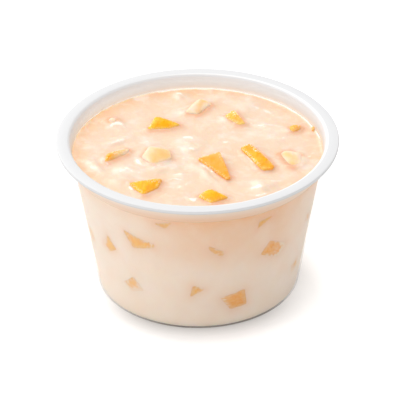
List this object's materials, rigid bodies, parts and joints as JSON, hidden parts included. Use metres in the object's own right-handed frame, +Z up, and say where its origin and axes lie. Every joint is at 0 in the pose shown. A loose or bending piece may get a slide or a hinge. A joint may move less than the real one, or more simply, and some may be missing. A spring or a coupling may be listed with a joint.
{
  "type": "fromage frais pot",
  "caption": "Small round translucent plastic pot with a flat rim, filled with fromage frais and diced yellow fruit.",
  "frame": {"origin": "centre of the pot's foot, on the surface it stands on", "axes": "+Z up along the pot's axis, -Y towards the side that the picture shows"},
  "size_m": [0.075, 0.075, 0.0426],
  "materials": {
    "white_plastic": "satin",
    "cream": "glossy",
    "fruit": "glossy",
    "coated_fruit": "glossy"
  },
  "bodies": {
    "root": {"pot": "white_plastic", "fromage_frais": "cream", "fruit_top_a": "fruit", "fruit_top_b": "coated_fruit", "fruit_top_c": "fruit", "fruit_top_d": "fruit", "fruit_top_e": "fruit", "fruit_top_f": "coated_fruit", "fruit_top_g": "fruit", "fruit_top_h": "fruit", "fruit_top_i": "coated_fruit", "fruit_top_j": "fruit", "fruit_top_k": "fruit", "fruit_top_l": "coated_fruit", "fruit_wall_m": "fruit", "fruit_wall_n": "fruit", "fruit_wall_o": "fruit", "fruit_wall_p": "fruit", "fruit_wall_q": "fruit", "fruit_wall_r": "fruit", "fruit_wall_s": "fruit", "fruit_wall_t": "fruit", "fruit_wall_u": "fruit", "fruit_wall_v": "fruit", "fruit_wall_w": "fruit", "fruit_wall_back_1": "fruit", "fruit_wall_back_2": "fruit", "fruit_wall_back_3": "fruit", "fruit_wall_back_4": "fruit", "fruit_wall_back_5": "fruit", "fruit_wall_back_6": "fruit", "fruit_wall_back_7": "fruit", "fruit_wall_back_8": "fruit", "fruit_wall_back_9": "fruit", "fruit_wall_back_10": "fruit"}
  },
  "joints": []
}
